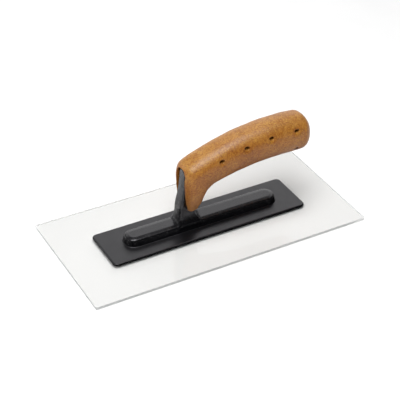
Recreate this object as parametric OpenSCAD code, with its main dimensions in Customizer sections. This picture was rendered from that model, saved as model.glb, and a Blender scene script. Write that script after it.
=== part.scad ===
// Plasterer's smoothing trowel: clear sheet blade, black moulded mount with a
// T-section neck, cork-composite grip over a hard core.
// Origin: centre of the blade's bottom face. +X along the blade towards the
// grip's rear end, +Y across the blade, +Z up. Millimetres.

/* [Blade] */
// Length of the clear blade along X
blade_length = 280; // [270:1:300]
// Width of the blade along Y
blade_width = 130; // [120:1:150]
// Thickness of the clear sheet
blade_thickness = 3; // [2:0.5:5]
// Plan radius of the sheet's corners
blade_corner = 1.2; // [0.5:0.1:6]

/* [Bond] */
// Thickness of the adhesive layer under the mount
film_thickness = 0.3; // [0.2:0.1:0.6]
// How far the adhesive stays back from the plate's edge
film_inset = 2; // [1:0.5:4]

/* [Mount plate and rib] */
// Where the plate's middle lies along X
plate_x = -1.4; // [-4:0.2:4]
// Length of the base plate along X
plate_length = 202; // [190:1:220]
// Width of the base plate along Y
plate_width = 49; // [44:1:60]
// Thickness of the base plate
plate_thickness = 2.4; // [2.2:0.1:4]
// Plan radius of the plate's corners
plate_corner = 4.5; // [3:0.5:10]
// Rounding of the plate's top edge
plate_edge = 1.3; // [0.5:0.1:1.8]
// Length of the stiffening rib along X
rib_length = 160; // [140:1:170]
// Height of the rib above the plate
rib_height = 7.3; // [6:0.1:8]
// Width of the rib's crowned top
rib_top_width = 17.6; // [16:0.2:18.4]
// Fall of the rib's top from its middle to its edge
rib_crown = 0.8; // [0.2:0.1:1.2]
// Rounding of the rib's top edge
rib_edge = 1.8; // [1:0.1:2.4]
// Width of the rib where it meets the plate
rib_base_width = 20.8; // [20:0.2:26]

/* [Neck] */
// Width of the neck's front flange
flange_width = 11.8; // [9:0.2:12.6]
// Thickness of the front flange along X
flange_thickness = 3.4; // [2.5:0.1:4.5]
// Thickness of the web behind the flange
web_thickness = 7; // [5:0.5:8]
// Depth of the recess behind the web in the rib's top
recess_depth = 2.2; // [0.5:0.1:3]

/* [Tang and core] */
// Thickness of the tang along Y, a little under the web's
tang_thickness = 6.6; // [4:0.1:6.8]
// Height of the tang's section
tang_height = 11.6; // [9:0.2:12]
// Length of the tang inside the core
tang_length = 80; // [60:1:82]
// Outer radius of the hard core in the grip
core_radius = 10.3; // [9.5:0.1:10.8]
// Length of the hard core
core_length = 91; // [88:1:92]
// Slope of the tang and core above horizontal, degrees
core_slope = 5.6; // [5.2:0.1:6]

/* [Grip] */
// Scale of the grip's width along Y
grip_width_scale = 1; // [0.97:0.01:1.06]
// Half-width of the open slot at the front of the grip
slot_half_width = 7.4; // [7:0.1:7.8]
// Gap between the tang's outline and the slot behind the flange
web_gap = 0.7; // [0.5:0.1:0.9]
// Length of each pin hole along X
pin_length = 4.6; // [3:0.2:5.4]
// Height of each pin hole
pin_height = 2.2; // [1.4:0.2:2.8]
// Steps between the grip's stations
grip_steps = 3; // [2:1:4]
// Points around each section of the grip
grip_points = 40; // [24:4:48]

/* [End screw] */
// Radius of the bore in the grip's rear end
bore_radius = 6; // [5.5:0.1:7]
// Outer radius of the washer
washer_radius = 5.2; // [4.5:0.1:5.4]
// Thickness of the washer
washer_thickness = 1; // [0.8:0.1:1.5]
// Radius of the screw's head
head_radius = 3.8; // [3.4:0.1:4.2]
// Radius of the screw's shank
shank_radius = 2; // [1.5:0.1:2.5]
// Length of the screw below its head
screw_length = 30; // [24:1:34]

/* [Hidden] */
$fn = 64;
plate_z = blade_thickness + film_thickness;
plate_top = plate_z + plate_thickness;
rib_top = plate_top + rib_height;
// The neck and grip are laid out with the rib's top at 13.
lift = rib_top - 13;
black = [0.13, 0.13, 0.14];
// Grip stations from the foot's bottom end to the rear end. Each one is a
// section between a point on the outer profile and one on the inner profile.
outer = [[-20.2, 27], [-21.9, 32.2], [-23.4, 40.6], [-24.5, 51], [-24.9, 62], [-22.5, 71.2],
    [-14.2, 75.95], [-3.4, 80.15], [11.2, 85.3], [33, 90.9], [59, 94.6], [82, 95.6], [97, 94.8]];
inner = [[-7.9, 30.2], [-5.4, 34.4], [-4, 38.2], [-2.4, 41.9], [0.6, 46.1], [6, 49.5],
    [12.9, 51.5], [19.9, 53.1], [30, 55.1], [48, 57.5], [70, 58.6], [88, 58.4], [98, 58.5]];
// Half-width along Y and squareness of the section at each station.
half_w = [10.4, 12, 13.5, 14.7, 15.3, 15.6, 15.8, 16.1, 16.5, 16.9, 17.2, 17.2, 17.1];
square = [3.2, 3.2, 3.1, 3, 2.9, 2.8, 2.7, 2.6, 2.5, 2.4, 2.35, 2.3, 2.3];
// Rear dome: length, roundness and droop. Foot: edge rounding.
dome = [11.8, 1.9, -1.1];
foot_round = 2.6;
// Pin holes as [x, z, depth stop in y]: four along each flank that reach the
// core, and a shallow one low at the rear.
pins = [[9.8, 75.7, 2], [35.4, 82.5, 2], [61, 85.7, 2], [88, 85.9, 2], [90.3, 66, 11.5]];
// Tang and core axis in the XZ plane.
axis_x = 8;
axis_z = 70.5;
core_start = -0.6;
web_front_x = -22;
web_rear_x = -11.2;

function unit(v) = v / norm(v);

// Arc that replaces corner b of the path a, b, c.
function corner_arc(a, b, c, r, n) = r <= 0 ? [b] :
    let (u = unit(a - b), v = unit(c - b),
         half = acos(max(-1, min(1, u * v))) / 2,
         d = r / tan(half),
         m = b + unit(u + v) * (r / sin(half)),
         p = b + u * d - m, q = b + v * d - m,
         a0 = atan2(p[1], p[0]), raw = atan2(q[1], q[0]) - a0,
         turn = raw > 180 ? raw - 360 : raw < -180 ? raw + 360 : raw)
    [for (i = [0:n]) m + r * [cos(a0 + turn * i / n), sin(a0 + turn * i / n)]];

// Closed path of [x, y, radius] corners with the corners rounded.
function rounded(pts, n = 6) = let (k = len(pts))
    [for (i = [0:k - 1]) let (a = pts[(i + k - 1) % k], b = pts[i], c = pts[(i + 1) % k])
        each corner_arc([a[0], a[1]], [b[0], b[1]], [c[0], c[1]], b[2], n)];

// Smooth curve through a list of points or numbers, at t = 0 .. len - 1.
function at(p, t) = let (k = len(p), i = min(floor(t), k - 2), f = t - i,
    p1 = p[i], p2 = p[i + 1],
    p0 = i > 0 ? p[i - 1] : 2 * p1 - p2,
    p3 = i + 2 < k ? p[i + 2] : 2 * p2 - p1)
    0.5 * (2 * p1 + (p2 - p0) * f + (2 * p0 - 5 * p1 + 4 * p2 - p3) * f * f
        + (3 * p1 - 3 * p2 + p3 - p0) * f * f * f);

function spow(v, e) = sign(v) * pow(abs(v), e);

// Closed solid through rings that all have m points, with a point in the
// middle of each end ring.
module loft(rings, m, mid) {
    n = len(rings);
    pts = [for (r = rings) each r];
    polyhedron(points = concat(pts, mid), faces = concat(
        [for (i = [0:n - 2]) for (j = [0:m - 1]) let (a = i * m + j, b = i * m + (j + 1) % m)
            each [[a, b, b + m], [a, b + m, a + m]]],
        [for (j = [0:m - 1]) [n * m, (j + 1) % m, j]],
        [for (j = [0:m - 1]) [n * m + 1, (n - 1) * m + j, (n - 1) * m + (j + 1) % m]]));
}

function middle(ring) = let (m = len(ring)) [for (j = [0:m - 1]) 1] * ring / m;

function section(o, i, w, e, m) = let (c = (o + i) / 2, d = (o - i) / 2)
    [for (j = [0:m - 1]) let (a = -360 * j / m, u = spow(cos(a), 2 / e), v = spow(sin(a), 2 / e))
        [c[0] + d[0] * u, w * v, c[1] + d[1] * u]];

function grip_rings(steps, m, foot_n = 3, dome_n = 7) = let (k = len(outer),
    c0 = (outer[0] + inner[0]) / 2, d0 = (outer[0] - inner[0]) / 2, h0 = norm(d0),
    down = [d0[1], -d0[0]] / h0,
    c1 = (outer[k - 1] + inner[k - 1]) / 2, d1 = (outer[k - 1] - inner[k - 1]) / 2,
    out = [d1[1], -d1[0]] / norm(d1))
    concat(
        [for (i = [foot_n:-1:1]) let (a = 90 * i / foot_n, s = 1 - foot_round * (1 - cos(a)) / h0,
            c = c0 - down * foot_round * sin(a))
            section(c + d0 * s, c - d0 * s, (half_w[0] - foot_round * (1 - cos(a))) * grip_width_scale, square[0], m)],
        [for (i = [0:(k - 1) * steps]) let (t = i / steps)
            section(at(outer, t), at(inner, t), at(half_w, t) * grip_width_scale, at(square, t), m)],
        [for (i = [1:dome_n]) let (a = 90 * i / dome_n, g = pow(sin(a), 2 / dome[1]),
            s = i == dome_n ? 0.03 : pow(cos(a), 2 / dome[1]),
            c = c1 + out * dome[0] * g + [0, dome[2] * g * g])
            section(c + d1 * s, c - d1 * s, half_w[k - 1] * s * grip_width_scale, square[k - 1], m)]);

// Flat plate with rounded plan corners and a rounded top edge.
module soft_slab(l, w, h, rc, re) {
    module profile(half) {
        polygon(rounded([[-half, 0, 0], [half, 0, 0], [half, h, re], [-half, h, re]], 8));
    }
    translate([-l / 2 + rc, 0, 0]) rotate([90, 0, 90]) linear_extrude(l - 2 * rc) profile(w / 2);
    translate([0, w / 2 - rc, 0]) rotate([90, 0, 0]) linear_extrude(w - 2 * rc) profile(l / 2);
    for (sx = [-1, 1]) for (sy = [-1, 1])
        translate([sx * (l / 2 - rc), sy * (w / 2 - rc), 0])
            rotate_extrude() polygon(rounded([[0, 0, 0], [rc, 0, 0], [rc, h, re], [0, h, 0]], 8));
}

module flat_plate(l, w, h, r) {
    linear_extrude(h) union() {
        square([l - 2 * r, w], center = true);
        square([l, w - 2 * r], center = true);
        for (sx = [-1, 1]) for (sy = [-1, 1]) translate([sx * (l / 2 - r), sy * (w / 2 - r)]) circle(r);
    }
}

// Half outline of the rib's section, from the plate up to the flat top.
function rib_half() = [[0, -0.6, 0], [rib_base_width / 2 + 1.6, -0.6, 0],
    [rib_base_width / 2 + 1.6, 0.02, 0], [rib_base_width / 2, 0.02, 1],
    [rib_top_width / 2, rib_height - rib_crown, rib_edge],
    [rib_top_width / 2 - 4, rib_height, 6], [0, rib_height, 0]];

module rib() {
    r = rib_base_width / 2;
    run = rib_length - 2 * r;
    half = rounded(rib_half(), 5);
    for (s = [-1, 1]) translate([s * run / 2, 0, 0]) rotate_extrude() polygon(half);
    for (s = [0, 1]) mirror([0, s, 0]) translate([-run / 2, 0, 0])
        rotate([90, 0, 90]) linear_extrude(run) polygon(half);
}

// T-shaped neck: front face, flange half-width, web half-width, rounding of the
// front corners and rear face at levels going up.
neck_z = [8, 10.4, 12.4, 14, 16, 18.2, 21, 25, 30, 36, 42, 48, 55, 61.5, 64, 66.2, 67.6, 68.2];
neck_front = [-32.2, -31.1, -30, -29.2, -28.4, -27.9, -27.4, -27, -26.8, -25.8, -24.4, -23.5, -23.1, -22.9, -22.9, -23, -23.1, -23.2];
neck_flange = [1.69, 1.63, 1.545, 1.40, 1.22, 1.08, 1.01, 1, 1, 1, 1, 0.99, 0.98, 0.94, 0.87, 0.74, 0.56, 0.36];
neck_web = [9.9, 9.55, 9.05, 8.2, 7.15, 6.2, 5.2, 4.3, 3.75, 3.5, 3.5, 3.5, 3.5, 3.5, 3.4, 2.9, 2, 1.1];
neck_round = [3, 3, 2.9, 2.6, 2.2, 1.8, 1.5, 1.4, 1.4, 1.4, 1.4, 1.4, 1.4, 1.4, 1.4, 1.4, 1.4, 1.4];
neck_rear = [-4, -4.8, -5.8, -7, -8.5, -9.8, -10.5, -10.6, -10.6, -10.6, -10.6, -10.6, -10.6, -10.6, -10.6, -10.6, -10.6, -10.6];

function neck_ring(t) = let (z = at(neck_z, t), x0 = at(neck_front, t), f = at(neck_flange, t) * flange_width / 2,
    w = min(at(neck_web, t) * web_thickness / 7, f - 0.05), x1 = x0 + flange_thickness, xr = at(neck_rear, t),
    side = rounded([[x0 - 0.01, 0, 0], [x0, f, min(at(neck_round, t), f * 0.45)], [x1, f, min(0.8, (f - w) * 0.4)],
        [x1 + (f - w) * 0.3, w, min(1, (f - w) * 0.5)], [xr, w, min(1, w * 0.4)], [xr + 0.01, 0, 0]], 4))
    concat([for (p = side) [p[0], p[1], z]],
        [for (i = [len(side) - 2:-1:1]) [side[i][0], -side[i][1], z]]);

// Outline of the web and tang in the XZ plane, grown by g.
function web_path(g) = let (u = [cos(core_slope), sin(core_slope)], n = [-u[1], u[0]], a = [axis_x, axis_z],
    h = tang_height / 2 + g, top = a + n * h, bot = a - n * h, e = tang_length,
    tf = top + u * ((web_front_x + 2.2 - g - top[0]) / u[0]),
    br = bot + u * ((web_rear_x + g - bot[0]) / u[0]))
    rounded([[web_front_x - g, 20, 0], [web_front_x + 2.2 - g, tf[1], 9],
        concat(top + u * e, [0]), concat(bot + u * e, [0]),
        [br[0], br[1], 7], [web_rear_x + g, 20, 0]], 8);

// The same outline carried down into the rib, for the mount itself.
function mount_path() = let (p = web_path(0), k = len(p))
    [for (i = [0:k - 1]) i == 0 ? [p[0][0], 10] : i == k - 1 ? [p[k - 1][0], 10] : p[i]];

module on_axis(s = 0) {
    translate([axis_x, 0, axis_z]) rotate([0, -core_slope, 0]) translate([s, 0, 0]) children();
}

module blade() {
    color([0.92, 0.95, 0.95, 0.35]) flat_plate(blade_length, blade_width, blade_thickness, blade_corner);
}

module adhesive_film() {
    color([0.08, 0.08, 0.09]) translate([plate_x, 0, blade_thickness])
        flat_plate(plate_length - 2 * film_inset, plate_width - 2 * film_inset, film_thickness, plate_corner - 1);
}

module mount() {
    color(black) difference() {
        union() {
            translate([plate_x, 0, plate_z]) soft_slab(plate_length, plate_width, plate_thickness, plate_corner, plate_edge);
            translate([plate_x, 0, plate_top]) rib();
            translate([0, 0, lift]) {
                let (k = len(neck_z) - 1)
                    loft([for (i = [0:k * 2]) neck_ring(i / 2)], len(neck_ring(0)),
                        [for (e = [0, k]) [neck_front[e] + flange_thickness / 2, 0, neck_z[e]]]);
                rotate([90, 0, 0]) translate([0, 0, -tang_thickness / 2]) linear_extrude(tang_thickness)
                    polygon(mount_path());
            }
        }
        // recess behind the web
        translate([0, 0, rib_top - recess_depth]) linear_extrude(6)
            polygon([[-9.2, -4.9], [-7.2, -5.8], [-6.1, -5], [-2.1, 9.6], [-9.2, 9.6]]);
        // pilot for the end screw
        translate([0, 0, lift]) on_axis(tang_length - screw_length + 13)
            rotate([0, 90, 0]) cylinder(r = shank_radius, h = screw_length);
    }
}

module core_solid(r) {
    on_axis(core_start) rotate([0, 90, 0]) cylinder(r = r, h = core_length);
}

module tang_space(g) {
    rotate([90, 0, 0]) translate([0, 0, -tang_thickness / 2 - g]) linear_extrude(tang_thickness + 2 * g)
        polygon(web_path(g));
}

module grip_core() {
    color([0.1, 0.1, 0.1]) translate([0, 0, lift]) difference() {
        core_solid(core_radius);
        tang_space(0);
        on_axis(tang_length - 1) rotate([0, 90, 0]) cylinder(r = shank_radius, h = core_length);
    }
}

// A pin hole: a flat rounded slot that runs in along Y.
module pin_slot(p, side) {
    r = pin_height / 2;
    translate([p[0], side * p[2], p[1]]) rotate([-side * 90, 0, 0]) linear_extrude(22) union() {
        square([pin_length - 2 * r, pin_height], center = true);
        for (k = [-1, 1]) translate([k * (pin_length / 2 - r), 0]) circle(r);
    }
}

module grip() {
    color([0.72, 0.47, 0.24]) translate([0, 0, lift]) difference() {
        let (r = grip_rings(grip_steps, grip_points))
            loft(r, grip_points, [middle(r[0]), middle(r[len(r) - 1])]);
        core_solid(core_radius);
        // slot for the flange, open at the front and the bottom
        translate([-40, 0, 0]) rotate([90, 0, 90]) linear_extrude(40 - 18.8)
            polygon(rounded([[-slot_half_width, 10, 0], [slot_half_width, 10, 0],
                [slot_half_width, 69.2, slot_half_width - 1], [-slot_half_width, 69.2, slot_half_width - 1]], 10));
        tang_space(web_gap);
        for (p = pins) for (side = [-1, 1]) pin_slot(p, side);
        // bore for the end screw
        on_axis(core_start + core_length - 0.5) rotate([0, 90, 0]) cylinder(r = bore_radius, h = 30);
    }
}

module screw_washer() {
    color([0.7, 0.7, 0.72]) translate([0, 0, lift]) on_axis(core_start + core_length) rotate([0, 90, 0])
        difference() {
            cylinder(r = washer_radius, h = washer_thickness);
            translate([0, 0, -1]) cylinder(r = shank_radius, h = washer_thickness + 2);
        }
}

module handle_screw() {
    color([0.65, 0.65, 0.67]) translate([0, 0, lift]) on_axis(core_start + core_length + washer_thickness)
        rotate([0, 90, 0]) difference() {
            union() {
                cylinder(r = head_radius, h = 2.4);
                translate([0, 0, -screw_length]) cylinder(r = shank_radius, h = screw_length + 1);
            }
            for (a = [0, 90]) rotate([0, 0, a]) translate([-2.2, -0.5, 1]) cube([4.4, 1, 3]);
        }
}

blade();
adhesive_film();
mount();
grip_core();
grip();
screw_washer();
handle_screw();
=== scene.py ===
import math

import bmesh
import bpy
import numpy as np
from mathutils import Matrix, Vector, noise


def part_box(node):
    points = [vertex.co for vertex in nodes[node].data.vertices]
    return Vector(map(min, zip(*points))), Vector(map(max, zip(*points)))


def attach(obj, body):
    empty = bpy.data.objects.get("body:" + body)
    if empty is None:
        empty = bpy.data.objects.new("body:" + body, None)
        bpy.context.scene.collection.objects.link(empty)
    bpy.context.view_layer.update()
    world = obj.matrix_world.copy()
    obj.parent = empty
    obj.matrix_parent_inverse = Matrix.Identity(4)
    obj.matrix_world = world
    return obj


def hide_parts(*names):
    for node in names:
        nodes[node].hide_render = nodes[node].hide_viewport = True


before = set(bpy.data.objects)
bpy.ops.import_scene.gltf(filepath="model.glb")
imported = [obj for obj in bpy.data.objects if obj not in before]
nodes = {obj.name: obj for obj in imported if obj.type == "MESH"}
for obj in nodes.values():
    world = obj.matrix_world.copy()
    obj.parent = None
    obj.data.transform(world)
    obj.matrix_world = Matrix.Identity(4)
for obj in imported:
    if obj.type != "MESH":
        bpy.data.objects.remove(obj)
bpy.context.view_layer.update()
MM = 0.001


# ---------------------------------------------------------------- mesh helpers

def new_object(name, verts_mm, faces, smooth=True):
    me = bpy.data.meshes.new(name)
    me.from_pydata([tuple(float(c) * MM for c in v) for v in verts_mm], [], [tuple(int(i) for i in f) for f in faces])
    me.validate()
    me.update()
    o = bpy.data.objects.new(name, me)
    bpy.context.scene.collection.objects.link(o)
    if smooth:
        me.polygons.foreach_set("use_smooth", [True] * len(me.polygons))
    return o


def copy_of(node, name):
    o = bpy.data.objects.new(name, nodes[node].data.copy())
    bpy.context.scene.collection.objects.link(o)
    o.data.materials.clear()
    bm = bmesh.new()
    bm.from_mesh(o.data)
    bmesh.ops.remove_doubles(bm, verts=bm.verts, dist=2e-6)
    bmesh.ops.recalc_face_normals(bm, faces=bm.faces)
    bm.to_mesh(o.data)
    bm.free()
    if o.data.has_custom_normals:
        bpy.context.view_layer.objects.active = o
        with bpy.context.temp_override(object=o, active_object=o, selected_objects=[o]):
            bpy.ops.mesh.customdata_custom_splitnormals_clear()
    return o


def bake_modifiers(o):
    bpy.context.view_layer.update()
    dg = bpy.context.evaluated_depsgraph_get()
    me = bpy.data.meshes.new_from_object(o.evaluated_get(dg), preserve_all_data_layers=False, depsgraph=dg)
    old = o.data
    o.modifiers.clear()
    o.data = me
    me.name = o.name
    bpy.data.meshes.remove(old)
    return o


def cut(o, cutter, operation="DIFFERENCE", self_too=False):
    m = o.modifiers.new("cut", "BOOLEAN")
    m.operation = operation
    m.solver = "EXACT"
    m.use_self = self_too
    m.object = cutter
    bake_modifiers(o)
    old = cutter.data
    bpy.data.objects.remove(cutter)
    bpy.data.meshes.remove(old)
    return o


def voxel(o, size_mm):
    m = o.modifiers.new("voxel", "REMESH")
    m.mode = "VOXEL"
    m.voxel_size = size_mm * MM
    m.adaptivity = 0.0
    m.use_smooth_shade = True
    return bake_modifiers(o)


def coords(o):
    co = np.empty(len(o.data.vertices) * 3)
    o.data.vertices.foreach_get("co", co)
    return co.reshape(-1, 3) / MM


def set_coords(o, co):
    o.data.vertices.foreach_set("co", (co * MM).astype(np.float32).ravel())
    o.data.update()


def normals(o):
    n = np.empty(len(o.data.vertices) * 3, np.float32)
    o.data.vertices.foreach_get("normal", n)
    return n.reshape(-1, 3).astype(float)


def relax(o, rounds, lam=0.5, mu=-0.53, weight=None):
    """Smooths a mesh without shrinking it much; weight is a factor per vertex."""
    co = coords(o)
    e = np.empty(len(o.data.edges) * 2, np.int64)
    o.data.edges.foreach_get("vertices", e)
    i, j = e[0::2], e[1::2]
    n = len(co)
    deg = np.bincount(i, minlength=n) + np.bincount(j, minlength=n)
    deg = np.maximum(deg, 1)[:, None]
    w = np.ones((n, 1)) if weight is None else weight[:, None]
    for _ in range(rounds):
        for f in (lam, mu):
            if not f:
                continue
            s = np.stack([np.bincount(i, co[j, a], n) + np.bincount(j, co[i, a], n) for a in range(3)], 1)
            co += f * w * (s / deg - co)
    set_coords(o, co)
    return o


def thin_out(o, ratio):
    m = o.modifiers.new("thin", "DECIMATE")
    m.decimate_type = "COLLAPSE"
    m.ratio = ratio
    bake_modifiers(o)
    o.data.polygons.foreach_set("use_smooth", [True] * len(o.data.polygons))
    return o


def keep_inside(o, lo, hi):
    co = coords(o)
    lo = np.array([c / MM for c in lo])
    hi = np.array([c / MM for c in hi])
    set_coords(o, np.clip(co, lo, hi))


def corner_arc(a, b, c, r, n):
    a, b, c = (np.array(p[:2], float) for p in (a, b, c))
    if r <= 0:
        return [tuple(b)]
    u = (a - b) / np.linalg.norm(a - b)
    v = (c - b) / np.linalg.norm(c - b)
    half = math.acos(max(-1, min(1, float(u @ v)))) / 2
    d = r / math.tan(half)
    s = u + v
    m = b + s / np.linalg.norm(s) * (r / math.sin(half))
    p, q = b + u * d - m, b + v * d - m
    a0 = math.atan2(p[1], p[0])
    turn = math.atan2(q[1], q[0]) - a0
    turn = turn - 2 * math.pi if turn > math.pi else turn + 2 * math.pi if turn < -math.pi else turn
    return [(m[0] + r * math.cos(a0 + turn * k / n), m[1] + r * math.sin(a0 + turn * k / n)) for k in range(n + 1)]


def rounded(pts, n=6):
    k = len(pts)
    out = []
    for i in range(k):
        out += corner_arc(pts[(i - 1) % k], pts[i], pts[(i + 1) % k], pts[i][2] if len(pts[i]) > 2 else 0, n)
    return out


def prism(name, outline, lo, hi, place):
    """Solid between two copies of an outline; place(u, v, w) gives a point."""
    k = len(outline)
    v = [place(p[0], p[1], lo) for p in outline] + [place(p[0], p[1], hi) for p in outline]
    f = [tuple(range(k))[::-1], tuple(range(k, 2 * k))]
    f += [(i, (i + 1) % k, k + (i + 1) % k, k + i) for i in range(k)]
    o = new_object(name, v, f, smooth=False)
    bm = bmesh.new()
    bm.from_mesh(o.data)
    bmesh.ops.recalc_face_normals(bm, faces=bm.faces)
    bm.to_mesh(o.data)
    bm.free()
    return o


def lathe(name, profile, n, place, smooth=True):
    """Closed solid of revolution: profile is [(distance along, radius)], place(s, y, z) gives a point."""
    v, f = [], []
    rings = []
    for s, r in profile:
        if r <= 1e-6:
            rings.append([len(v)])
            v.append(place(s, 0, 0))
        else:
            rings.append(list(range(len(v), len(v) + n)))
            v += [place(s, r * math.cos(2 * math.pi * k / n), r * math.sin(2 * math.pi * k / n)) for k in range(n)]
    for a, b in zip(rings, rings[1:]):
        for k in range(n):
            q = [a[k % len(a)], a[(k + 1) % len(a)], b[(k + 1) % len(b)], b[k % len(b)]]
            q = [x for i, x in enumerate(q) if x not in q[:i]]
            if len(q) > 2:
                f.append(tuple(q))
    o = new_object(name, v, f, smooth)
    bm = bmesh.new()
    bm.from_mesh(o.data)
    bmesh.ops.recalc_face_normals(bm, faces=bm.faces)
    bm.to_mesh(o.data)
    bm.free()
    return o


# ------------------------------------------------------------ material helpers

class Nodes:
    def __init__(self, name):
        self.mat = bpy.data.materials.new(name)
        self.mat.use_nodes = True
        self.t = self.mat.node_tree
        self.t.nodes.clear()
        self.out = self.t.nodes.new("ShaderNodeOutputMaterial")
        tc = self.t.nodes.new("ShaderNodeTexCoord")
        mp = self.t.nodes.new("ShaderNodeMapping")
        mp.inputs["Scale"].default_value = (1000, 1000, 1000)
        self.t.links.new(tc.outputs["Object"], mp.inputs["Vector"])
        self.mm = mp.outputs["Vector"]

    def node(self, kind, links=None, **values):
        n = self.t.nodes.new(kind)
        for k, v in values.items():
            if k in n.inputs:
                n.inputs[k].default_value = v
            else:
                setattr(n, k, v)
        for k, v in (links or {}).items():
            self.t.links.new(v, n.inputs[k])
        return n

    def noise(self, scale, detail=3.0, rough=0.5, vector=None, distortion=0.0):
        return self.node("ShaderNodeTexNoise", {"Vector": vector or self.mm}, Scale=scale, Detail=detail,
                         Roughness=rough, Distortion=distortion).outputs["Fac"]

    def cells(self, scale, vector=None, feature="F1", randomness=1.0):
        return self.node("ShaderNodeTexVoronoi", {"Vector": vector or self.mm}, Scale=scale, feature=feature,
                         Randomness=randomness)

    def stretch(self, scale, turn=(0, 0, 0)):
        n = self.node("ShaderNodeMapping", {"Vector": self.mm})
        n.inputs["Scale"].default_value = scale
        n.inputs["Rotation"].default_value = turn
        return n.outputs["Vector"]

    def ramp(self, fac, stops, interp="LINEAR"):
        n = self.node("ShaderNodeValToRGB", {"Fac": fac})
        n.color_ramp.interpolation = interp
        el = n.color_ramp.elements
        while len(el) < len(stops):
            el.new(0.5)
        for e, (p, c) in zip(el, stops):
            e.position = p
            e.color = (*c, 1) if len(c) == 3 else c
        return n.outputs["Color"]

    def span(self, fac, a, b, lo=0.0, hi=1.0):
        n = self.node("ShaderNodeMapRange", {"Value": fac})
        n.inputs["From Min"].default_value = a
        n.inputs["From Max"].default_value = b
        n.inputs["To Min"].default_value = lo
        n.inputs["To Max"].default_value = hi
        return n.outputs["Result"]

    def math(self, op, a, b=None):
        n = self.node("ShaderNodeMath", operation=op)
        for i, x in enumerate((a, b)):
            if x is None:
                continue
            if isinstance(x, (int, float)):
                n.inputs[i].default_value = x
            else:
                self.t.links.new(x, n.inputs[i])
        return n.outputs[0]

    def mix(self, fac, a, b, blend="MIX"):
        n = self.t.nodes.new("ShaderNodeMix")
        n.data_type = "RGBA"
        n.blend_type = blend
        for s, x in ((n.inputs[0], fac), (n.inputs[6], a), (n.inputs[7], b)):
            if isinstance(x, (int, float)):
                s.default_value = x
            elif isinstance(x, (tuple, list)):
                s.default_value = (*x, 1) if len(x) == 3 else x
            else:
                self.t.links.new(x, s)
        return n.outputs[2]

    def bump(self, height, strength, distance_mm, under=None):
        n = self.node("ShaderNodeBump", {"Height": height})
        n.inputs["Strength"].default_value = strength
        n.inputs["Distance"].default_value = distance_mm * MM
        if under is not None:
            self.t.links.new(under, n.inputs["Normal"])
        return n.outputs["Normal"]

    def principled(self, links, **values):
        n = self.t.nodes.new("ShaderNodeBsdfPrincipled")
        for k, v in values.items():
            n.inputs[k.replace("_", " ")].default_value = v
        for k, v in links.items():
            self.t.links.new(v, n.inputs[k])
        return n

    def done(self, shader):
        self.t.links.new(shader, self.out.inputs["Surface"])
        return self.mat


def srgb(r, g, b):
    f = lambda c: c / 255 / 12.92 if c <= 10.3 else ((c / 255 + 0.055) / 1.055) ** 2.4
    return (f(r), f(g), f(b))


def paint(o, mat):
    o.data.materials.clear()
    o.data.materials.append(mat)


# ------------------------------------------------------------------- materials

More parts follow.
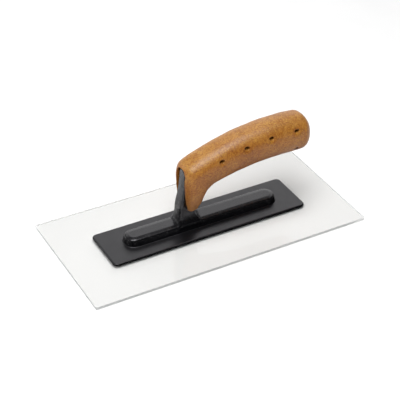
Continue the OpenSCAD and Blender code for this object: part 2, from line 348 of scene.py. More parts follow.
def cork_material(pins):
    k = Nodes("cork_composite")
    warp = k.node("ShaderNodeTexNoise", {"Vector": k.mm}, Scale=0.55, Detail=2.0)
    shift = k.node("ShaderNodeVectorMath", operation="SCALE")
    k.t.links.new(warp.outputs["Color"], shift.inputs[0])
    shift.inputs["Scale"].default_value = 0.9
    add = k.node("ShaderNodeVectorMath", operation="ADD")
    k.t.links.new(k.mm, add.inputs[0])
    k.t.links.new(shift.outputs[0], add.inputs[1])
    crumb = add.outputs[0]
    coarse = k.cells(0.62, crumb)
    fine = k.cells(1.35, crumb)
    sep = k.node("ShaderNodeSeparateColor", {"Color": coarse.outputs["Color"]})
    sep2 = k.node("ShaderNodeSeparateColor", {"Color": fine.outputs["Color"]})
    grain = k.ramp(sep.outputs["Red"], [
        (0.0, srgb(120, 66, 26)), (0.16, srgb(160, 92, 40)), (0.40, srgb(184, 115, 56)),
        (0.65, srgb(198, 130, 68)), (0.86, srgb(212, 148, 84)), (0.95, srgb(220, 160, 92)), (1.0, srgb(226, 172, 106))])
    dust = k.ramp(sep2.outputs["Green"], [
        (0.0, srgb(140, 80, 36)), (0.25, srgb(176, 106, 50)), (0.6, srgb(194, 126, 66)),
        (0.9, srgb(214, 150, 88)), (1.0, srgb(226, 170, 96))])
    base = k.mix(0.45, grain, dust)
    # Broad changes of tone: rubbed paler zones, and deeper orange ones.
    broad = k.noise(0.045, 3.0, 0.55)
    mottle = k.noise(0.21, 3.0, 0.6)
    tone = k.ramp(k.math("ADD", k.math("MULTIPLY", broad, 0.68), k.math("MULTIPLY", mottle, 0.32)), [
        (0.34, srgb(150, 80, 20)), (0.46, srgb(180, 110, 50)), (0.55, srgb(200, 134, 78)), (0.68, srgb(224, 166, 118))])
    body = k.mix(0.58, base, tone)
    # Small light and dark grains, a few millimetres across.
    speck = k.noise(0.80, 2.0, 0.55, crumb)
    body = k.mix(k.span(speck, 0.52, 0.66, 0.0, 0.50), body, srgb(226, 160, 90))
    body = k.mix(k.span(speck, 0.34, 0.48, 0.50, 0.0), body, srgb(144, 76, 22))
    # Deeper orange rings where the moulding pins pressed in.
    pos = k.node("ShaderNodeSeparateXYZ", {"Vector": k.mm})
    near = None
    for x, z in pins:
        dx = k.math("MULTIPLY", k.math("SUBTRACT", pos.outputs["X"], x - 1.0), 0.105)
        dz = k.math("MULTIPLY", k.math("SUBTRACT", pos.outputs["Z"], z - 2.6), 0.16)
        d = k.math("ADD", k.math("MULTIPLY", dx, dx), k.math("MULTIPLY", dz, dz))
        g = k.math("POWER", 2.718, k.math("MULTIPLY", d, -1.0))
        near = g if near is None else k.math("MAXIMUM", near, g)
    deep = k.math("MULTIPLY", near, k.span(k.noise(0.35, 3.0, 0.6), 0.30, 0.62, 0.25, 1.0))
    body = k.mix(k.math("MULTIPLY", deep, 0.78), body, k.mix(0.55, srgb(160, 92, 22), grain))
    # Gold flecks of cork crust, gathered in patches.
    fleck = k.span(sep2.outputs["Blue"], 0.86, 0.93)
    patch = k.span(k.noise(0.085, 2.0, 0.5), 0.45, 0.62, 0.10, 0.9)
    body = k.mix(k.math("MULTIPLY", fleck, patch), body, srgb(224, 166, 80))
    dark = k.span(sep2.outputs["Red"], 0.90, 0.97)
    body = k.mix(k.math("MULTIPLY", dark, 0.42), body, srgb(96, 54, 24))
    # Darker in the hollows.
    geo = k.t.nodes.new("ShaderNodeNewGeometry")
    hollow = k.span(geo.outputs["Pointiness"], 0.42, 0.50, 1.0, 0.0)
    body = k.mix(k.math("MULTIPLY", hollow, 0.45), body, srgb(104, 58, 22))
    # Painted shade: the downward-facing faces are darkened.
    under = k.span(k.node("ShaderNodeSeparateXYZ", {"Vector": geo.outputs["Normal"]}).outputs["Z"], -0.75, 0.0, 0.55, 0.0)
    body = k.mix(under, body, srgb(128, 70, 30))
    # Overall colour scaled down and more orange on the flanks; the paler, pinker tint on the upward-facing faces is a
    # painted sheen.
    facing = k.node("ShaderNodeSeparateXYZ", {"Vector": geo.outputs["Normal"]})
    up = k.span(facing.outputs["Z"], 0.15, 0.85)
    body = k.mix(1.0, body, k.mix(up, (0.70, 0.635, 0.27), (0.66, 0.72, 0.46)), "MULTIPLY")
    foot = k.span(pos.outputs["Z"], 26.0, 46.0, 0.42, 0.0)
    body = k.mix(foot, body, srgb(162, 118, 84))
    rough = k.span(k.noise(0.9, 3.0, 0.6), 0.3, 0.7, 0.36, 0.50)
    edge = k.span(coarse.outputs["Distance"], 0.0, 0.6)
    n1 = k.bump(edge, 0.10, 0.25)
    n2 = k.bump(k.noise(2.2, 3.0, 0.6), 0.12, 0.2, n1)
    sh = k.principled({"Base Color": body, "Roughness": rough, "Normal": n2},
                      Specular_IOR_Level=0.46, Sheen_Weight=0.03, Sheen_Roughness=0.5,
                      Sheen_Tint=(*srgb(255, 226, 210), 1))
    return k.done(sh.outputs[0])


def moulding_material(name, base=(0.0030, 0.0030, 0.0037), rough=(0.22, 0.30), specular=0.5):
    """Black moulded plastic: fine spark-eroded grain, faint flow marks, pale edges that are partly rubbing wear and
    partly a painted highlight.
    """
    k = Nodes(name)
    grain = k.noise(3.4, 3.0, 0.65)
    flow = k.noise(0.05, 2.0, 0.5, k.stretch((0.35, 1.6, 1.0)))
    mott = k.noise(0.5, 4.0, 0.6)
    col = k.mix(k.span(mott, 0.3, 0.7), tuple(c * 0.72 for c in base), tuple(c * 1.35 for c in base))
    col = k.mix(k.span(flow, 0.35, 0.75, 0.0, 0.35), col, tuple(c * 1.9 for c in base))
    geo = k.t.nodes.new("ShaderNodeNewGeometry")
    # Pale convex edges: partly rubbing wear, partly painted highlight.
    edge_wear_and_highlight = k.math("MULTIPLY", k.span(geo.outputs["Pointiness"], 0.53, 0.62), k.span(mott, 0.35, 0.6))
    col = k.mix(k.math("MULTIPLY", edge_wear_and_highlight, 0.35), col, (0.055, 0.056, 0.06))
    r = k.math("ADD", k.span(k.noise(0.12, 4.0, 0.6), 0.3, 0.7, rough[0], rough[1]), k.span(grain, 0.3, 0.7, -0.03, 0.03))
    level = k.node("ShaderNodeSeparateXYZ", {"Vector": k.mm}).outputs["Z"]
    facing = k.node("ShaderNodeSeparateXYZ", {"Vector": geo.outputs["Normal"]})
    tilt = facing.outputs["Z"]
    across = k.math("MULTIPLY", facing.outputs["Y"], facing.outputs["Y"])
    r = k.math("ADD", r, k.span(level, 5.9, 7.0, 0.09, 0.0))
    dull = k.math("MULTIPLY", k.span(tilt, 0.25, 0.75, 1.0, 0.0), k.span(level, 11.5, 15.5, 1.0, 0.0))
    dull = k.math("MULTIPLY", dull, k.span(across, 0.2, 0.6))
    shine = k.math("SUBTRACT", specular, k.math("MULTIPLY", dull, specular * 0.86))
    n1 = k.bump(grain, 0.16, 0.06)
    n2 = k.bump(k.noise(0.16, 2.0, 0.5), 0.06, 0.3, n1)
    sh = k.principled({"Base Color": col, "Roughness": r, "Normal": n2, "Specular IOR Level": shine},
                     Specular_Tint=(0.975, 0.955, 1.0, 1))
    return k.done(sh.outputs[0])


def lets_lamps_through(k, shader, tint):
    """Lamps shine through the sheet as they do through real acrylic; everything else refracts."""
    lamps = k.node("ShaderNodeBsdfTransparent")
    lamps.inputs["Color"].default_value = (*tint, 1)
    path = k.t.nodes.new("ShaderNodeLightPath")
    m = k.t.nodes.new("ShaderNodeMixShader")
    k.t.links.new(path.outputs["Is Shadow Ray"], m.inputs[0])
    k.t.links.new(shader.outputs[0], m.inputs[1])
    k.t.links.new(lamps.outputs[0], m.inputs[2])
    return k.done(m.outputs[0])


def clear_material():
    """Clear acrylic sheet: faint grey body and hairline scratches."""
    k = Nodes("clear_sheet")
    lines = k.noise(1.6, 2.0, 0.6, k.stretch((0.5, 6.0, 1.0), (0, 0, 0.35)))
    lines2 = k.noise(1.3, 2.0, 0.6, k.stretch((5.0, 0.4, 1.0), (0, 0, -0.2)))
    scratch = k.math("ADD", k.span(lines, 0.66, 0.74), k.span(lines2, 0.68, 0.76))
    haze = k.noise(0.04, 3.0, 0.6)
    rough = k.math("ADD", k.math("MULTIPLY", scratch, 0.05), k.span(haze, 0.3, 0.7, 0.06, 0.09))
    bump = k.bump(k.noise(0.03, 2.0, 0.5), 0.05, 0.5)
    bump = k.bump(scratch, 0.05, 0.02, bump)
    glass = k.principled({"Roughness": rough, "Normal": bump}, Base_Color=(*CLEAR_TINT, 1),
                         Transmission_Weight=1.0, IOR=1.28)
    return lets_lamps_through(k, glass, LAMP_TINT)


def edge_material():
    """Saw-cut edge of the sheet: frosted, with fine upright saw marks."""
    k = Nodes("clear_sheet_edge")
    saw = k.noise(1.4, 3.0, 0.6, k.stretch((3.0, 3.0, 0.4)))
    long = k.noise(0.05, 3.0, 0.6)
    col = k.mix(k.span(saw, 0.3, 0.7), tuple(c * 0.90 for c in EDGE_TINT), EDGE_TINT)
    col = k.mix(k.span(long, 0.35, 0.7, 0.0, 0.5), col, (0.80, 0.82, 0.82))
    rough = k.span(saw, 0.3, 0.7, 0.35, 0.6)
    frost = k.principled({"Base Color": col, "Roughness": rough, "Normal": k.bump(saw, 0.35, 0.15)},
                         Transmission_Weight=0.45, IOR=1.49)
    return lets_lamps_through(k, frost, (0.8, 0.81, 0.81))


def steel_material(name, axis_turn=0.0):
    """Zinc-plated steel with turning marks and a few dull spots."""
    k = Nodes(name)
    marks = k.noise(2.5, 3.0, 0.6, k.stretch((1.0, 5.0, 5.0)))
    spots = k.noise(0.6, 3.0, 0.6)
    col = k.mix(k.span(spots, 0.45, 0.7), srgb(196, 198, 202), srgb(150, 150, 150))
    rough = k.span(k.math("ADD", marks, k.math("MULTIPLY", spots, 0.5)), 0.5, 1.0, 0.22, 0.46)
    sh = k.principled({"Base Color": col, "Roughness": rough, "Normal": k.bump(marks, 0.12, 0.08)}, Metallic=1.0)
    return k.done(sh.outputs[0])


def bond_material():
    """Black adhesive pressed against the clear sheet: wetted patches and small trapped bubbles."""
    k = Nodes("adhesive")
    c = k.cells(0.22, feature="F1")
    bubble = k.span(c.outputs["Distance"], 0.10, 0.16, 1.0, 0.0)
    pick = k.node("ShaderNodeSeparateColor", {"Color": c.outputs["Color"]})
    bubble = k.math("MULTIPLY", bubble, k.span(pick.outputs["Red"], 0.72, 0.76))
    wet = k.noise(0.06, 3.0, 0.55)
    col = k.mix(k.span(wet, 0.4, 0.6), (0.010, 0.010, 0.011), (0.022, 0.022, 0.024))
    col = k.mix(bubble, col, (0.09, 0.09, 0.095))
    rough = k.math("ADD", k.span(wet, 0.35, 0.65, 0.22, 0.48), k.math("MULTIPLY", bubble, 0.3))
    sh = k.principled({"Base Color": col, "Roughness": rough, "Normal": k.bump(bubble, 0.4, 0.15)}, Specular_IOR_Level=0.4)
    return k.done(sh.outputs[0])


CLEAR_TINT = (0.945, 0.945, 0.942)
EDGE_TINT = (0.965, 0.972, 0.965)
LAMP_TINT = (0.882, 0.882, 0.875)


# ----------------------------------------------------------------------- blade

def make_blade():
    lo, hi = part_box("blade")
    lo, hi = np.array(lo) / MM, np.array(hi) / MM
    c, half = (lo + hi) / 2, (hi - lo) / 2
    r, bev = 1.2, 0.22

    def outline(inset):
        x, y = half[0] - inset, half[1] - inset
        rr = r - inset
        pts = []
        for sx, sy, a0 in ((1, 1, 0), (-1, 1, 90), (-1, -1, 180), (1, -1, 270)):
            for i in range(7):
                a = math.radians(a0 + 90 * i / 6)
                pts.append((c[0] + sx * (x - rr) + rr * math.cos(a), c[1] + sy * (y - rr) + rr * math.sin(a)))
            # points along the straight side, so that the saw-cut edge can wander a little
            nx, ny = pts[-1]
            nxt = {(1, 1): (-1, 1), (-1, 1): (-1, -1), (-1, -1): (1, -1), (1, -1): (1, 1)}[(sx, sy)]
            a = math.radians(a0 + 90)
            ex = c[0] + nxt[0] * (x - rr) + rr * math.cos(a)
            ey = c[1] + nxt[1] * (y - rr) + rr * math.sin(a)
            steps = int(max(abs(ex - nx), abs(ey - ny)) / 4)
            for i in range(1, steps):
                t = i / steps
                px, py = nx + (ex - nx) * t, ny + (ey - ny) * t
                w = 0.035 * (noise.noise(Vector((px * 0.11, py * 0.11, 1.7))) - 0.5)
                pts.append((px + w * math.cos(a) * (1 if inset < bev else 0.6), py + w * math.sin(a)))
        return pts

    levels = [(lo[2], bev), (lo[2] + bev * 0.35, bev * 0.35), (lo[2] + bev, 0.03), (c[2], 0.03),
              (hi[2] - bev, 0.03), (hi[2] - bev * 0.35, bev * 0.35), (hi[2], bev)]
    v, f = [], []
    k = 0
    for z, inset in levels:
        o = outline(inset)
        k = len(o)
        v += [(x, y, z) for x, y in o]
    for a in range(len(levels) - 1):
        for j in range(k):
            f.append((a * k + j, a * k + (j + 1) % k, (a + 1) * k + (j + 1) % k, (a + 1) * k + j))
    f.append(tuple(range(k))[::-1])
    f.append(tuple(range((len(levels) - 1) * k, len(levels) * k)))
    o = new_object("clear_blade", v, f)
    n = len(o.data.polygons)
    flat = [True] * n
    flat[-1] = flat[-2] = False
    o.data.polygons.foreach_set("use_smooth", flat)
    keep_inside(o, *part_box("blade"))
    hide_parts("blade")
    paint(o, clear_material())
    o.data.materials.append(edge_material())
    cut_edge = [1] * n
    cut_edge[-1] = cut_edge[-2] = 0
    o.data.polygons.foreach_set("material_index", cut_edge)
    o.visible_diffuse = False  # the floor under the sheet is lit as if through it once, not twice
    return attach(o, "root")


# ----------------------------------------------------------------------- mount

PLATE_X = -1.4
PLATE_Z, PLATE_TOP, RIB_TOP = 3.3, 5.7, 13.0
NECK_Z = [8, 10.4, 12.4, 14, 16, 18.2, 21, 25, 30, 36, 42, 48, 55, 61.5, 64, 66.2, 67.6, 68.2]
NECK_FRONT = [-32.2, -31.1, -30, -29.2, -28.4, -27.9, -27.4, -27, -26.8, -25.8, -24.4, -23.5, -23.1, -22.9, -22.9, -23, -23.1,
              -23.2]
NECK_FLANGE = [1.69, 1.63, 1.545, 1.40, 1.22, 1.08, 1.01, 1, 1, 1, 1, 0.99, 0.98, 0.94, 0.87, 0.74, 0.56, 0.36]
NECK_WEB = [9.9, 9.55, 9.05, 8.2, 7.15, 6.2, 5.2, 4.3, 3.75, 3.5, 3.5, 3.5, 3.5, 3.5, 3.4, 2.9, 2, 1.1]
NECK_ROUND = [3, 3, 2.9, 2.6, 2.2, 1.8, 1.5] + [1.4] * 11
NECK_REAR = [-4, -4.8, -5.8, -7, -8.5, -9.8, -10.5] + [-10.6] * 11


def shell(name, rings):
    """Closed solid through equal rings, capped flat at both ends."""
    n = len(rings[0])
    v = [p for r in rings for p in r]
    f = [tuple(range(n))[::-1], tuple(range((len(rings) - 1) * n, len(rings) * n))]
    for a in range(len(rings) - 1):
        for j in range(n):
            f.append((a * n + j, a * n + (j + 1) % n, (a + 1) * n + (j + 1) % n, (a + 1) * n + j))
    o = new_object(name, v, f)
    bm = bmesh.new()
    bm.from_mesh(o.data)
    bmesh.ops.recalc_face_normals(bm, faces=bm.faces)
    bm.to_mesh(o.data)
    bm.free()
    return o


def plate_solid():
    lo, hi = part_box("mount")
    hx, hy = (hi[0] - lo[0]) / 2 / MM, (hi[1] - lo[1]) / 2 / MM
    cx = (hi[0] + lo[0]) / 2 / MM
    rc, re = 4.5, 1.3

    def ring(inset, z):
        pts = []
        for sx, sy, a0 in ((1, 1, 0), (-1, 1, 90), (-1, -1, 180), (1, -1, 270)):
            for i in range(15):
                a = math.radians(a0 + 90 * i / 14)
                pts.append((cx + sx * (hx - rc) + (rc - inset) * math.cos(a), sy * (hy - rc) + (rc - inset) * math.sin(a), z))
        return pts

    rings = [ring(0.7, PLATE_Z), ring(0.2, PLATE_Z), ring(0.06, PLATE_Z + 0.06), ring(0, PLATE_Z + 0.2),
             ring(0, PLATE_TOP - re - 0.1)]
    for i in range(11):
        a = math.pi / 2 * i / 10
        rings.append(ring(re * (1 - math.cos(a)), PLATE_TOP - re + re * math.sin(a)))
    rings.append(ring(re + 0.4, PLATE_TOP))
    return shell("plate", rings)


def rib_solid():
    rb, rt, h, re = 10.4, 8.8, RIB_TOP - PLATE_TOP, 1.8
    run = 160 - 2 * rb
    prof = rounded([(0, -0.6, 0), (rb + 1.6, -0.6, 0), (rb + 1.6, 0.0, 0), (rb, 0.0, 0.5), (rt, h - 0.8, re), (rt - 4, h, 6),
                    (0, h, 0)], 12)[1:-1]
    prof.append((prof[-1][0] - 0.4, h))

    def ring(r, z):
        pts = []
        for s in (1, -1):
            for i in range(41):
                a = math.radians(-90 + 180 * i / 40) + (0 if s == 1 else math.pi)
                pts.append((PLATE_X + s * run / 2 + r * math.cos(a), r * math.sin(a), PLATE_TOP + z))
        return pts

    return shell("rib", [ring(r, z) for r, z in prof])


def neck_solid():
    fw = 11.8 / 2

    def ring(t):
        z, x0, f = float(along(NECK_Z, t)), float(along(NECK_FRONT, t)), float(along(NECK_FLANGE, t)) * fw
        w, xr = min(float(along(NECK_WEB, t)), f - 0.05), float(along(NECK_REAR, t))
        x1 = x0 + 3.4
        side = rounded([(x0 - 0.01, 0, 0), (x0, f, min(float(along(NECK_ROUND, t)), f * 0.45)), (x1, f, min(0.8, (f - w) * 0.4)),
                        (x1 + (f - w) * 0.3, w, min(1, (f - w) * 0.5)), (xr, w, min(1, w * 0.4)), (xr + 0.01, 0, 0)], 8)
        return [(x, y, z) for x, y in side] + [(x, -y, z) for x, y in side[-2:0:-1]]

    k = len(NECK_Z) - 1
    return shell("neck", [ring(i / 4) for i in range(k * 4 + 1)])


def make_mount():
    o = plate_solid()
    o.name = o.data.name = "moulded_mount"
    cut(o, rib_solid(), "UNION")
    tang = web_outline(0.0, closed_low=10.0)
    cut(o, prism("tang", tang, -3.3, 3.3, lambda u, w, y: (u, y, w)), "UNION")
    cut(o, neck_solid(), "UNION")
    # recess behind the web, with a rounded lip on the rib's rear part
    cut(o, prism("cut_recess", [(-9.2, -4.9), (-7.2, -5.8), (-6.1, -5), (-2.1, 9.6), (-9.2, 9.6)], RIB_TOP - 2.2, RIB_TOP + 4,
                 lambda u, w, z: (u, w, z)))
    e = np.array([4.0, 14.6]) / math.hypot(4.0, 14.6)
    q = np.array([e[1], -e[0]])
    lip = 1.8
    prof = [(-0.6, 0.6), (lip + 0.01, 0.6)]
    prof += [(lip - lip * math.sin(math.radians(9 * i)), -lip + lip * math.cos(math.radians(9 * i))) for i in range(11)]
    prof.append((-0.6, -lip))
    base = np.array([-6.1, -5.0])
    cut(o, prism("cut_lip", prof, 0.0, 15.5, lambda u, w, s: (*(base + q * u + e * s), RIB_TOP + w)))
    s0 = 80 - 30 + 13
    cut(o, lathe("cut_pilot", [(s0, 0), (s0, 2), (s0 + 30, 2), (s0 + 30, 0)], 48, on_axis, smooth=False))
    bm = bmesh.new()
    bm.from_mesh(o.data)
    bmesh.ops.remove_doubles(bm, verts=bm.verts, dist=1e-6)
    bmesh.ops.dissolve_degenerate(bm, dist=1e-6, edges=bm.edges)
    bm.to_mesh(o.data)
    bm.free()
    o.data.polygons.foreach_set("use_smooth", [True] * len(o.data.polygons))
    o.data.set_sharp_from_angle(angle=math.radians(32))
    keep_inside(o, *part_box("mount"))
    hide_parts("mount")
    paint(o, moulding_material("black_moulding"))
    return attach(o, "root")


# ------------------------------------------------------------------------ grip

OUTER = [(-20.2, 27), (-21.9, 32.2), (-23.4, 40.6), (-24.5, 51), (-24.9, 62), (-22.5, 71.2), (-14.2, 75.95), (-3.4, 80.15),
         (11.2, 85.3), (33, 90.9), (59, 94.6), (82, 95.6), (97, 94.8)]
INNER = [(-7.9, 30.2), (-5.4, 34.4), (-4, 38.2), (-2.4, 41.9), (0.6, 46.1), (6, 49.5), (12.9, 51.5), (19.9, 53.1),
         (30, 55.1), (48, 57.5), (70, 58.6), (88, 58.4), (98, 58.5)]
HALF_W = [10.4, 12, 13.5, 14.7, 15.3, 15.6, 15.8, 16.1, 16.5, 16.9, 17.2, 17.2, 17.1]
SQUARE = [3.2, 3.2, 3.1, 3, 2.9, 2.8, 2.7, 2.6, 2.5, 2.4, 2.35, 2.3, 2.3]
DOME = (11.8, 1.9, -1.1)
FOOT = 2.6
PINS = [(9.8, 75.7), (35.4, 82.5), (61, 85.7), (88, 85.9)]
LOW_PIN = (90.3, 66)
SLOPE = math.radians(5.6)
AXIS = (8.0, 70.5)
CORE_START, CORE_LEN, CORE_R = -0.6, 91.0, 10.3


def along(p, t):
    p = np.array(p, float)
    i = min(int(t), len(p) - 2)
    f = t - i
    p1, p2 = p[i], p[i + 1]
    p0 = p[i - 1] if i else 2 * p1 - p2
    p3 = p[i + 2] if i + 2 < len(p) else 2 * p2 - p1
    return 0.5 * (2 * p1 + (p2 - p0) * f + (2 * p0 - 5 * p1 + 4 * p2 - p3) * f * f + (3 * p1 - 3 * p2 + p3 - p0) * f ** 3)


def grip_section(o, i, w, e, m):
    c, d = (o + i) / 2, (o - i) / 2
    a = -2 * np.pi * np.arange(m) / m
    u = np.sign(np.cos(a)) * np.abs(np.cos(a)) ** (2 / e)
    v = np.sign(np.sin(a)) * np.abs(np.sin(a)) ** (2 / e)
    # even spacing round the section
    big = 2880
    aa = -2 * np.pi * np.arange(big + 1) / big
    uu = np.sign(np.cos(aa)) * np.abs(np.cos(aa)) ** (2 / e)
    vv = np.sign(np.sin(aa)) * np.abs(np.sin(aa)) ** (2 / e)
    h = np.linalg.norm(d)
    L = np.concatenate([[0], np.cumsum(np.hypot(np.diff(uu) * h, np.diff(vv) * w))])
    t = np.linspace(0, L[-1], m + 1)[:-1]
    u, v = np.interp(t, L, uu), np.interp(t, L, vv)
    return np.stack([c[0] + d[0] * u, w * v, c[1] + d[1] * u], 1)


def grip_loft(steps=12, m=152, foot_n=8, dome_n=22):
    k = len(OUTER)
    o, i = np.array(OUTER, float), np.array(INNER, float)
    rings = []
    c0, d0 = (o[0] + i[0]) / 2, (o[0] - i[0]) / 2
    h0 = np.linalg.norm(d0)
    down = np.array([d0[1], -d0[0]]) / h0
    for n in range(foot_n, 0, -1):
        a = math.pi / 2 * n / foot_n
        s = 1 - FOOT * (1 - math.cos(a)) / h0
        c = c0 - down * FOOT * math.sin(a)
        rings.append(grip_section(c + d0 * s, c - d0 * s, HALF_W[0] - FOOT * (1 - math.cos(a)), SQUARE[0], m))
    for n in range((k - 1) * steps + 1):
        t = n / steps
        rings.append(grip_section(along(OUTER, t), along(INNER, t), float(along(HALF_W, t)), float(along(SQUARE, t)), m))
    c1, d1 = (o[-1] + i[-1]) / 2, (o[-1] - i[-1]) / 2
    out = np.array([d1[1], -d1[0]]) / np.linalg.norm(d1)
    for n in range(1, dome_n + 1):
        a = math.pi / 2 * n / dome_n
        g = math.sin(a) ** (2 / DOME[1])
        s = 0.03 if n == dome_n else math.cos(a) ** (2 / DOME[1])
        c = c1 + out * DOME[0] * g + np.array([0, DOME[2]]) * g * g
        rings.append(grip_section(c + d1 * s, c - d1 * s, HALF_W[-1] * s, SQUARE[-1], m))
    v = np.vstack(rings + [rings[0].mean(0), rings[-1].mean(0)])
    f = []
    n = len(rings)
    for a in range(n - 1):
        for j in range(m):
            q = a * m + j
            r = a * m + (j + 1) % m
            f.append((q, r, r + m, q + m))
    for j in range(m):
        f.append((n * m, (j + 1) % m, j))
        f.append((n * m + 1, (n - 1) * m + j, (n - 1) * m + (j + 1) % m))
    return v, f


def on_axis(s, y, z):
    """A point s along the core's axis, y across it and z square to it."""
    return (AXIS[0] + s * math.cos(SLOPE) - z * math.sin(SLOPE), y, AXIS[1] + s * math.sin(SLOPE) + z * math.cos(SLOPE))


def web_outline(g, closed_low=18.0):
    u = np.array([math.cos(SLOPE), math.sin(SLOPE)])
    n = np.array([-u[1], u[0]])
    a = np.array(AXIS)
    h = 11.6 / 2 + g
    top, bot = a + n * h, a - n * h
    tf = top + u * ((-22 + 2.2 - g - top[0]) / u[0])
    br = bot + u * ((-11.2 + g - bot[0]) / u[0])
    return rounded([(-22 - g, closed_low, 0), (-22 + 2.2 - g, tf[1], 9), (*(top + u * 80), 0), (*(bot + u * 80), 0),
                    (br[0], br[1], 7), (-11.2 + g, closed_low, 0)], 10)


def make_grip():
    v, f = grip_loft()
    o = new_object("cork_grip", v, f)
    # core space
    cut(o, lathe("cut_core", [(CORE_START, 0), (CORE_START, CORE_R), (CORE_START + CORE_LEN, CORE_R), (CORE_START + CORE_LEN, 0)],
                 96, on_axis, smooth=False))
    # slot for the flange
    sw = 7.4
    slot = rounded([(-sw, 8, 0), (sw, 8, 0), (sw, 69.2, sw - 1), (-sw, 69.2, sw - 1)], 12)
    cut(o, prism("cut_slot", slot, -42, -18.8, lambda u, w, x: (x, u, w)))
    cut(o, prism("cut_web", web_outline(0.7), -3.3 - 0.7, 3.3 + 0.7, lambda u, w, y: (u, y, w)))
    # pin holes
    hole = rounded([(-2.3, -1.1, 1.05), (2.3, -1.1, 1.05), (2.3, 1.1, 1.05), (-2.3, 1.1, 1.05)], 6)
    for x, z in PINS:
        for side in (-1, 1):
            cut(o, prism("cut_pin", hole, 2, 24, lambda u, w, y, x=x, z=z, side=side: (x + u, side * y, z + w)))
    for side in (-1, 1):
        cut(o, prism("cut_pin", hole, 11.5, 24, lambda u, w, y, side=side: (LOW_PIN[0] + u, side * y, LOW_PIN[1] + w)))
    e = CORE_START + CORE_LEN
    cut(o, lathe("cut_bore", [(e - 0.5, 0), (e - 0.5, 6), (e + 30, 6), (e + 30, 0)], 72, on_axis, smooth=False))
    voxel(o, 0.45)
    relax(o, 5)
    co, nn = coords(o), normals(o)
    lo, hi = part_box("grip")
    # Cork crumbs and a slightly uneven hand-finished skin.
    push = np.zeros(len(co))
    for i, p in enumerate(co):
        q = Vector(p)
        d = noise.voronoi(q * 0.62, distance_metric="DISTANCE", exponent=2.5)[0]
        push[i] = (0.10 * (min(d[1] - d[0], 0.5) - 0.25)
                   + 0.045 * noise.noise(q * 1.3) + 0.10 * noise.noise(q * 0.22) + 0.16 * noise.noise(q * 0.07))
    push = np.clip(push, -0.22, 0.14)
    # Dimples round the pin holes, deeper above the hole than below it.
    for x, z, k in [(*p, 1.0) for p in PINS] + [(*LOW_PIN, 0.7)]:
        for side in (-1, 1):
            m = np.sign(co[:, 1]) == side
            du = (co[:, 0] - x) * math.cos(0.16) + (co[:, 2] - z) * math.sin(0.16)
            dv = -(co[:, 0] - x) * math.sin(0.16) + (co[:, 2] - z) * math.cos(0.16)
            r2 = (du / 3.4) ** 2 + ((dv + 0.5) / 2.6) ** 2
            outside = np.abs(co[:, 1]) > 11.0
            push = push - np.where(m & outside, 0.75 * k * np.exp(-r2 * 1.4), 0)
            rim = np.exp(-((np.sqrt(r2) - 1.75) / 0.55) ** 2) * np.where(dv < 0, 1.0, 0.35)
            push = push + np.where(m & outside, 0.16 * k * rim, 0)
    set_coords(o, co + nn * push[:, None])
    relax(o, 1)
    keep_inside(o, lo, hi)
    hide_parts("grip")
    paint(o, cork_material(PINS))
    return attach(o, "root")


# -------------------------------------------------------------- screw, washer

def face_out(o):
    bm = bmesh.new()
    bm.from_mesh(o.data)
    bmesh.ops.recalc_face_normals(bm, faces=bm.faces)
    bm.to_mesh(o.data)
    bm.free()


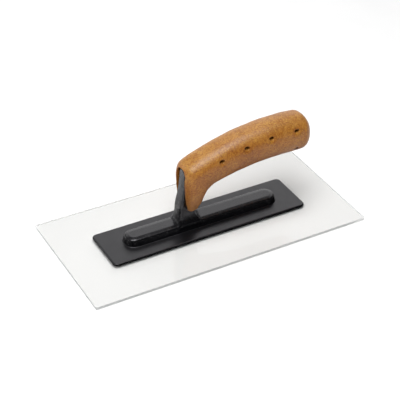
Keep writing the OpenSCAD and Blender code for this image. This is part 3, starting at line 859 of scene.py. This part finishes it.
def make_screw():
    s0 = CORE_START + CORE_LEN + 1.0
    # Shank with a rolled thread, running straight into the head
    turns, pitch, n = 22, 1.27, 48
    rows = turns * 10
    rings = []
    for r in range(rows + 1):
        ring = []
        for j in range(n):
            ph = (r / 10 + j / n) % 1.0
            rad = 1.42 + 0.55 * max(0.0, 1 - abs(ph - 0.5) * 2.6)
            ring.append(1.4 if r in (0, rows) else rad)
        rings.append((s0 - 0.15 - (rows - r) * pitch / 10, ring))
    rings.append((s0, [1.4] * n))
    rings.append((s0, [3.55] * n))
    for i in range(8):
        a = math.radians(90 * i / 8)
        rings.append((s0 + 0.35 + 2.0 * math.sin(a), [3.8 * math.cos(a) ** 0.42] * n))
    v = [on_axis(s, rad * math.cos(2 * math.pi * j / n), rad * math.sin(2 * math.pi * j / n))
         for s, ring in rings for j, rad in enumerate(ring)]
    f = [(r * n + j, r * n + (j + 1) % n, (r + 1) * n + (j + 1) % n, (r + 1) * n + j)
         for r in range(len(rings) - 1) for j in range(n)]
    f.append(tuple(range(n))[::-1])
    f.append(tuple(range((len(rings) - 1) * n, len(rings) * n)))
    o = new_object("end_screw", v, f)
    face_out(o)
    # Cross recess, tapered
    pts, m = [], 12
    for s, l, w in ((s0 + 0.75, 1.1, 0.34), (s0 + 3.2, 2.35, 0.62)):
        for du, dv in ((w, w), (w, l), (-w, l), (-w, w), (-l, w), (-l, -w), (-w, -w), (-w, -l), (w, -l), (w, -w), (l, -w), (l, w)):
            pts.append(on_axis(s, du, dv))
    c = new_object("cut_cross", pts, [tuple(range(m))[::-1], tuple(range(m, 2 * m))]
                   + [(i, (i + 1) % m, m + (i + 1) % m, m + i) for i in range(m)], smooth=False)
    face_out(c)
    cut(o, c)
    o.data.polygons.foreach_set("use_smooth", [True] * len(o.data.polygons))
    keep_inside(o, *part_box("handle_screw"))
    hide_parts("handle_screw")
    paint(o, steel_material("screw_steel"))
    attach(o, "root")

    w0 = CORE_START + CORE_LEN
    prof = [(w0, 2.05), (w0, 4.95), (w0 + 0.12, 5.12), (w0 + 0.4, 5.2), (w0 + 0.75, 5.16), (w0 + 0.95, 5.0), (w0 + 1.0, 4.8),
            (w0 + 1.0, 2.3), (w0 + 0.92, 2.1), (w0 + 0.6, 2.05)]
    n = 72
    v, f = [], []
    for s, r in prof:
        v += [on_axis(s, r * math.cos(2 * math.pi * j / n), r * math.sin(2 * math.pi * j / n)) for j in range(n)]
    k = len(prof)
    for a in range(k):
        b = (a + 1) % k
        for j in range(n):
            f.append((a * n + j, a * n + (j + 1) % n, b * n + (j + 1) % n, b * n + j))
    w = new_object("screw_washer_ring", v, f)
    bm = bmesh.new()
    bm.from_mesh(w.data)
    bmesh.ops.recalc_face_normals(bm, faces=bm.faces)
    bm.to_mesh(w.data)
    bm.free()
    keep_inside(w, *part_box("screw_washer"))
    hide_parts("screw_washer")
    paint(w, steel_material("washer_steel"))
    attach(w, "root")


make_blade()
make_mount()
make_grip()
make_screw()
paint(nodes["adhesive_film"], bond_material())
paint(nodes["grip_core"], moulding_material("core_plastic", base=(0.02, 0.02, 0.021), rough=(0.5, 0.65), specular=0.4))


# ----------------------------------------------------------------------- stage

def make_floor():
    n = 24
    v = [(0, 0, -0.15)]
    rings = [400, 1200, 3000, 8000, 20000]
    for r in rings:
        v += [(r * math.cos(2 * math.pi * j / n), r * math.sin(2 * math.pi * j / n), -0.15) for j in range(n)]
    f = [(0, 1 + j, 1 + (j + 1) % n) for j in range(n)]
    for a in range(len(rings) - 1):
        for j in range(n):
            f.append((1 + a * n + j, 1 + (a + 1) * n + j, 1 + (a + 1) * n + (j + 1) % n, 1 + a * n + (j + 1) % n))
    o = new_object("studio_floor", v, f, smooth=False)
    k = Nodes("studio_floor")
    sh = k.principled({"Base Color": k.mix(k.span(k.noise(0.02, 3.0, 0.5), 0.3, 0.7), (0.86, 0.86, 0.86), (0.88, 0.88, 0.88))},
                      Roughness=0.9, Specular_IOR_Level=0.1)
    paint(o, k.done(sh.outputs[0]))


def area(name, at, to, size, power, color=(1, 1, 1)):
    d = bpy.data.lights.new(name, "AREA")
    d.shape = "RECTANGLE"
    d.size, d.size_y = size
    d.energy = power
    d.color = color
    o = bpy.data.objects.new(name, d)
    bpy.context.scene.collection.objects.link(o)
    o.location = at
    o.rotation_euler = (Vector(to) - Vector(at)).to_track_quat("-Z", "Y").to_euler()
    o.visible_transmission = False  # its light already comes straight through the clear sheet
    return o


make_floor()
area("overhead", (-0.03, -0.02, 1.3), (0.02, 0, 0.03), (0.7, 0.7), 12.3)
area("key", (-0.38, -0.42, 1.2), (0.02, 0, 0.03), (0.9, 0.9), 10.0)
area("back_box", (0.80, 1.33, 1.13), (0, 0, 0.03), (1.6, 1.0), 7.8)
area("back_wall", (0.60, 1.55, 0.33), (0, 0, 0.05), (3.0, 0.62), 8.0)
area("back_left", (-1.0, 1.3, 0.75), (0, 0, 0.03), (0.8, 0.8), 4.5)
area("left_fill", (-1.4, 0.2, 0.8), (0.02, 0, 0.03), (1.2, 1.0), 1.8)

w = bpy.data.worlds.new("studio")
bpy.context.scene.world = w
w.use_nodes = True
w.node_tree.nodes["Background"].inputs["Color"].default_value = (1, 1, 1, 1)
w.node_tree.nodes["Background"].inputs["Strength"].default_value = 0.03

scene = bpy.context.scene
scene.view_settings.view_transform = "Standard"
scene.view_settings.look = "None"
scene.view_settings.exposure = 0.0
scene.view_settings.gamma = 1.0

# ---------------------------------------------------------------------- camera

AZ, EL, ROLL = math.radians(-30.97), math.radians(35.97), math.radians(2.29)
back = Vector((math.sin(AZ) * math.cos(EL), -math.cos(AZ) * math.cos(EL), math.sin(EL)))
right = (-back).cross(Vector((0, 0, 1))).normalized()
up = right.cross(-back)
r2 = right * math.cos(ROLL) + up * math.sin(ROLL)
u2 = -right * math.sin(ROLL) + up * math.cos(ROLL)
cam = bpy.data.cameras.new("camera")
cam.sensor_width = 36.0
cam.lens = 1196.6 * 36.0 / 400.0
cam.shift_x = -0.00125
cam.shift_y = 0.00125
cam.clip_start, cam.clip_end = 0.05, 60.0
co = bpy.data.objects.new("camera", cam)
scene.collection.objects.link(co)
co.matrix_world = Matrix.Translation(Vector((0.01718, 0.03267, 0.0)) + back * 1.14684) @ Matrix(
    ((r2[0], u2[0], back[0]), (r2[1], u2[1], back[1]), (r2[2], u2[2], back[2]))).to_4x4()
scene.camera = co
